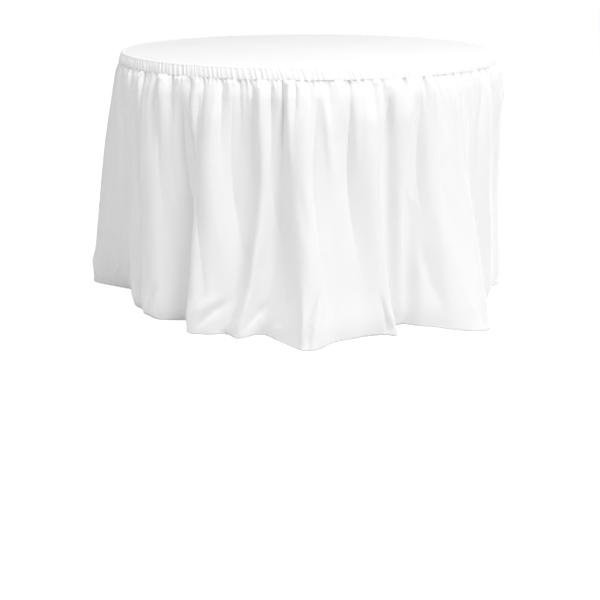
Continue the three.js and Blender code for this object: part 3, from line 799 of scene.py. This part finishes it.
# The innermost ring is closed with a fan of triangles.
bm = bmesh.new()
bm.from_mesh(top.data)
bm.verts.ensure_lookup_table()
hub = bm.verts[len(co) - 1]
inner_ring = [bm.verts[i] for i in range(PANEL_COLS)]
for i in range(PANEL_COLS):
    f = bm.faces.new((hub, inner_ring[i], inner_ring[(i + 1) % PANEL_COLS]))
    f.smooth = True
bmesh.ops.recalc_face_normals(bm, faces=bm.faces)
if sum(f.normal.z for f in bm.faces) < 0:
    bmesh.ops.reverse_faces(bm, faces=bm.faces)
bm.to_mesh(top.data)
bm.free()
thicken(top, FABRIC, -1.0)

# ---------------------------------------------------------------- shirred heading

HEAD_COLS = PLEATS * 10
ha = np.arange(HEAD_COLS) / HEAD_COLS
profile_t = np.linspace(0, 1, 26)
UPPER_STITCH, LOWER_STITCH = 0.38, 0.90                    # where the rows of stitches lie on the profile
BEND = 0.0046                                              # radius at which the fabric turns over the rim
BEND_LEAST = 0.0043                                        # least radius there, where a pleat dips
BEND_END = math.radians(70)
BEND_SHARE = 0.24                                          # share of the profile that the bend takes
FIRST_RUN = 0.0010                                         # where the profile starts beside the top seam
PLEAT_DEPTH = 0.0012
SLANT = 0.0150                                             # how far the pleats lean over the profile

# The profile starts tucked in under the top panel, runs over the table's rim, and slopes down to its lower edge.
low_r = SKIRT_TOP_R + 0.0004
bend_r, bend_z = TABLE_R - 0.0030, TABLE_TOP - 0.0030      # middle of the rim's rounding
flat_run = bend_r - PANEL_R
turned_r = bend_r + BEND * math.sin(BEND_END)
turned_z = bend_z + BEND * math.cos(BEND_END)
prof = [
    (PANEL_R - 0.0075, TABLE_TOP + 0.0003),
    (PANEL_R - 0.0012, TABLE_TOP + 0.0003),
    (PANEL_R + 0.0001, CLOTH_TOP + 0.00005),
]
tucked = len(prof)
for t in profile_t[tucked:]:
    k = (t - profile_t[tucked]) / (1 - profile_t[tucked])
    if k < BEND_SHARE:
        run = FIRST_RUN + k / BEND_SHARE * (flat_run + BEND * BEND_END - FIRST_RUN)
        turn = max(run - flat_run, 0.0) / BEND
        r = min(PANEL_R + run, bend_r) + BEND * math.sin(turn)
        zc = bend_z + BEND * math.cos(turn)
    else:
        q = (k - BEND_SHARE) / (1 - BEND_SHARE)
        r = turned_r + (low_r - turned_r) * q**0.85 + 0.0010 * math.sin(math.pi * q)
        zc = turned_z - (turned_z - HEADING_END) * q
    prof.append((r, zc))
prof = np.array(prof)
tangent = np.gradient(prof, axis=0)
tangent /= np.linalg.norm(tangent, axis=1, keepdims=True)
pn = np.stack([-tangent[:, 1], tangent[:, 0]], axis=1)
heading = np.zeros((len(prof), HEAD_COLS, 3))
wander = rng.uniform(-0.25, 0.25, PLEATS + 1)[:PLEATS]
for j, t in enumerate(profile_t):
    s = np.mod(ha + (t - 0.5) * -SLANT / (2 * math.pi * TABLE_R), 1.0)
    phase = wave_phase(s, fine_edges)
    phase = phase + by_phase(phase, wander) * math.sin(math.pi * t)
    p = 2 * np.pi * phase
    shape = np.cos(p + 0.35 * np.sin(p))
    # The stitches hold the pleats flatter.
    pinch = 0.12 + 0.88 * smooth(t / 0.30) * smooth((1.05 - t) / 0.14)
    pinch *= (1.0 - 0.18 * math.exp(-(((t - UPPER_STITCH) / 0.035) ** 2))
              - 0.5 * math.exp(-(((t - LOWER_STITCH) / 0.03) ** 2)))
    off = PLEAT_DEPTH * pinch * by_phase(phase - 0.5, fine_size) * shape
    if j <= tucked:
        off = np.zeros_like(off)
    elif j < tucked + 3:
        off = np.maximum(off, 0.0)
    rr = prof[j, 0] + pn[j, 0] * off
    zz = prof[j, 1] + pn[j, 1] * off
    if j >= tucked:
        near = np.maximum(BEND_LEAST / np.hypot(rr - bend_r, zz - bend_z), 1.0)
        out = np.where((rr > bend_r) & (zz > bend_z), near, 1.0)
        rr = bend_r + (rr - bend_r) * out
        zz = bend_z + (zz - bend_z) * out
        # Beside the tape the heading keeps outside it.
        rr = np.where(zz < tape_high[2] + 0.0004, np.maximum(rr, TABLE_R + 0.0022), rr)
    heading[j, :, :2] = spot(ha * 360 + SEAM_ANGLE, rr)
    heading[j, :, 2] = np.minimum(zz, CLOTH_TOP + 0.0025)
fabric = np.zeros_like(heading)
fabric[:, :, 0] = ha[None, :] * SKIRT_FABRIC
fabric[:, :, 1] = profile_t[:, None] * HEADING_FLAT
quads = grid_quads(len(prof), HEAD_COLS, wrap=True)
head = mesh_object("cloth_heading", heading.reshape(-1, 3), quads, fabric.reshape(-1, 3), mat_heading)
normals = surface_normals(heading)
face_outwards(head)
thicken(head, FABRIC, -1.0)
row_a = int(np.argmin(np.abs(profile_t - UPPER_STITCH)))
row_b = int(np.argmin(np.abs(profile_t - LOWER_STITCH)))
thread_a = stitches("heading_thread_upper", heading[row_a], normals[row_a], 0.0034, 0.0029)
thread_b = stitches("heading_thread_lower", heading[row_b], normals[row_b], 0.0034, 0.0029)

# ---------------------------------------------------------------- shirring tape

TAPE_COLS = 480
TAPE_ROWS = 9
TAPE_RIBS = 96             # the gathers press faint ribs into the tape
TAPE_THICKNESS = 0.0006
ta = np.arange(TAPE_COLS) / TAPE_COLS * 360
tape_z = np.linspace(tape_high[2], tape_low[2], TAPE_ROWS)
tape = np.zeros((TAPE_ROWS, TAPE_COLS, 3))
for j, zt in enumerate(tape_z):
    r = TABLE_R + 0.0008 + 0.00022 * np.cos(math.radians(1) * ta * TAPE_RIBS) * (1 if j % 2 else 0.4)
    tape[j, :, :2] = spot(ta, r)
    tape[j, :, 2] = zt
fabric = np.zeros_like(tape)
fabric[:, :, 0] = ta[None, :] / 360 * 2 * math.pi * TABLE_R
fabric[:, :, 1] = (tape_high[2] - tape_z)[:, None]
quads = grid_quads(TAPE_ROWS, TAPE_COLS, wrap=True)
tape_piece = mesh_object("cloth_tape", tape.reshape(-1, 3), quads, fabric.reshape(-1, 3), mat_tape)
face_outwards(tape_piece)
thicken(tape_piece, TAPE_THICKNESS, 0.0)

# ---------------------------------------------------------------- skirt widths

HEM_STEP = 0.0003          # how far the turned hem stands out, and how deep its stitching pulls in
SEAM_GROOVE = 0.0004
SEAM_EDGE = 0.0004         # the last column before a seam stands this near to it
TURN_IN = np.array([0.0095, 0.006, 0.0025])        # depths of the points down a seam allowance
normals = surface_normals(points)

# The hem is turned up once: it is thicker by one fabric over its height, with its stitches along the top.
hem_step = smooth((ROWS - (DROP - HEM_HEIGHT) + 0.001) / 0.002)[:, None, None]
surface = points + normals * hem_step * HEM_STEP
groove = np.exp(-(((ROWS - (DROP - HEM_HEIGHT - 0.0005)) / 0.0018) ** 2))[:, None, None]
surface = surface - normals * groove * HEM_STEP
surface[:, :, 2] = np.maximum(surface[:, :, 2], FLOOR)


def unit(v):
    return v / np.maximum(np.linalg.norm(v, axis=-1, keepdims=True), 1e-9)


skirt_pieces = []
per = COLUMNS // WIDTHS
step_u = SKIRT_FABRIC / COLUMNS
wide_u = SKIRT_FABRIC / WIDTHS
u = np.concatenate([
    -TURN_IN, [0.0, SEAM_EDGE], np.arange(1, per) * step_u, [wide_u - SEAM_EDGE, wide_u], wide_u + TURN_IN[::-1],
])
for w in range(WIDTHS):
    cols = (np.arange(per + 1) + w * per) % COLUMNS
    sub = surface[:, cols].copy()
    nrm = normals[:, cols]
    # A fine groove along each seam, and an allowance turned in behind it.
    dist = np.minimum(np.arange(per + 1), per - np.arange(per + 1)) * SKIRT_FABRIC / COLUMNS
    sub -= nrm * (SEAM_GROOVE * np.exp(-((dist / 0.0024) ** 2)))[None, :, None]
    left, right = sub[:, 0:1], sub[:, -1:]
    nl, nr = nrm[:, 0:1], nrm[:, -1:]
    along_l = unit(sub[:, 1:2] - left)
    along_r = unit(sub[:, -2:-1] - right)
    extra_l = [left - nl * d + along_l * 0.0003 for d in TURN_IN]
    extra_r = [right - nr * d + along_r * 0.0003 for d in TURN_IN[::-1]]
    tight_l = left + along_l * SEAM_EDGE
    tight_r = right + along_r * SEAM_EDGE
    sub = np.concatenate([*extra_l, left, tight_l, sub[:, 1:-1], tight_r, right, *extra_r], axis=1)
    sub[:, :, 2] = np.maximum(sub[:, :, 2], FLOOR)
    fabric = np.zeros_like(sub)
    fabric[:, :, 0] = u[None, :]
    fabric[:, :, 1] = ROWS[:, None]
    fabric[:, :, 2] = w * 0.37     # so that no two widths show the same slubs
    number = (w + 2) % WIDTHS + 1
    quads = grid_quads(len(ROWS), sub.shape[1])
    o = mesh_object(f"skirt_cloth_{number}", sub.reshape(-1, 3), quads, fabric.reshape(-1, 3), mat_skirt)
    face_outwards(o)
    thicken(o, FABRIC, -1.0)
    skirt_pieces.append((number, o))

hem_row = int(np.argmin(np.abs(ROWS - (DROP - HEM_HEIGHT + 0.003))))
hem_thread = stitches("hem_thread", surface[hem_row], normals[hem_row], 0.0040, 0.0032)

# ---------------------------------------------------------------- riding and replacing

cloth_pieces = [top, head, tape_piece, thread_a, thread_b, hem_thread] + [o for _, o in skirt_pieces]
for o in cloth_pieces:
    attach(o, "cloth")
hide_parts("top_panel")
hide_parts("shirred_heading")
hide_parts("shirring_tape")
for number, o in skirt_pieces:
    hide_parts(f"skirt_width_{number}")

# ---------------------------------------------------------------- floor, light and camera

FLOOR_HALF = 14
floor_corners = np.array([(-1, -1, 0), (1, -1, 0), (1, 1, 0), (-1, 1, 0)], float) * FLOOR_HALF
floor = mesh_object("floor", floor_corners, np.array([(0, 1, 2, 3)]))
floor_mat, tree, shader = new_material("floor_white")
coords = node(tree, "ShaderNodeTexCoord").outputs["Object"]
paint = ramp(tree, noise(tree, coords, 3.0), [(0.3, grey(0.93)), (0.7, grey(0.95))])
tree.links.new(paint, shader.inputs["Base Color"])
shader.inputs["Roughness"].default_value = 0.9
shader.inputs["Specular IOR Level"].default_value = 0.1
shader.inputs["Emission Color"].default_value = (1.0, 1.0, 1.0, 1.0)
whiten = node(tree, "ShaderNodeMapRange")
whiten.inputs["To Min"].default_value = 0.02
whiten.inputs["To Max"].default_value = 0.53
tree.links.new(node(tree, "ShaderNodeLightPath").outputs["Is Camera Ray"], whiten.inputs["Value"])
tree.links.new(whiten.outputs[0], shader.inputs["Emission Strength"])
floor.data.materials.append(floor_mat)
floor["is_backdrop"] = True

# A white backdrop is seen behind the object, and a little less light comes from it.
world = bpy.data.worlds.new("studio")
bpy.context.scene.world = world
world.use_nodes = True
tree = world.node_tree
background = tree.nodes["Background"]
background.inputs["Color"].default_value = (1.0, 1.0, 1.0, 1.0)
seen = tree.nodes.new("ShaderNodeLightPath").outputs["Is Camera Ray"]
level = tree.nodes.new("ShaderNodeMapRange")
level.inputs["To Min"].default_value = 0.49
level.inputs["To Max"].default_value = 1.0
tree.links.new(seen, level.inputs["Value"])
tree.links.new(level.outputs[0], background.inputs["Strength"])


def area_light(name, place, target, size, power):
    data = bpy.data.lights.new(name, "AREA")
    data.shape = "RECTANGLE"
    data.size, data.size_y = size, size
    data.energy = power
    o = bpy.data.objects.new(name, data)
    bpy.context.scene.collection.objects.link(o)
    o.location = place
    aim = mathutils.Vector(target) - mathutils.Vector(place)
    o.rotation_euler = aim.to_track_quat("-Z", "Y").to_euler()


# name, place, what it looks at, size in metres, power in watts
area_light("key", (1.25, -1.95, 4.1), (0.0, 0.0, 0.3), 1.3, 138.0)
area_light("fill", (-1.7, -1.5, 2.1), (-0.2, -0.1, 0.6), 0.9, 9.0)
area_light("back", (3.1, 3.0, 1.9), (0.0, 0.1, 0.45), 1.2, 42.0)

scene = bpy.context.scene
scene.view_settings.view_transform = "Standard"
camera_data = bpy.data.cameras.new("camera")
camera = bpy.data.objects.new("camera", camera_data)
scene.collection.objects.link(camera)
camera_data.sensor_width = 36.0
camera_data.lens = 63.26
# The shift places the object in the upper part of the frame, as in the photo.
camera_data.shift_x = -0.0125
camera_data.shift_y = -0.2067
camera.location = (0.0, -3.475, 1.0716)
camera.rotation_euler = (math.radians(78.0), 0.0, 0.0)     # 12 degrees below level
scene.camera = camera

bpy.context.view_layer.update()
low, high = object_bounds()
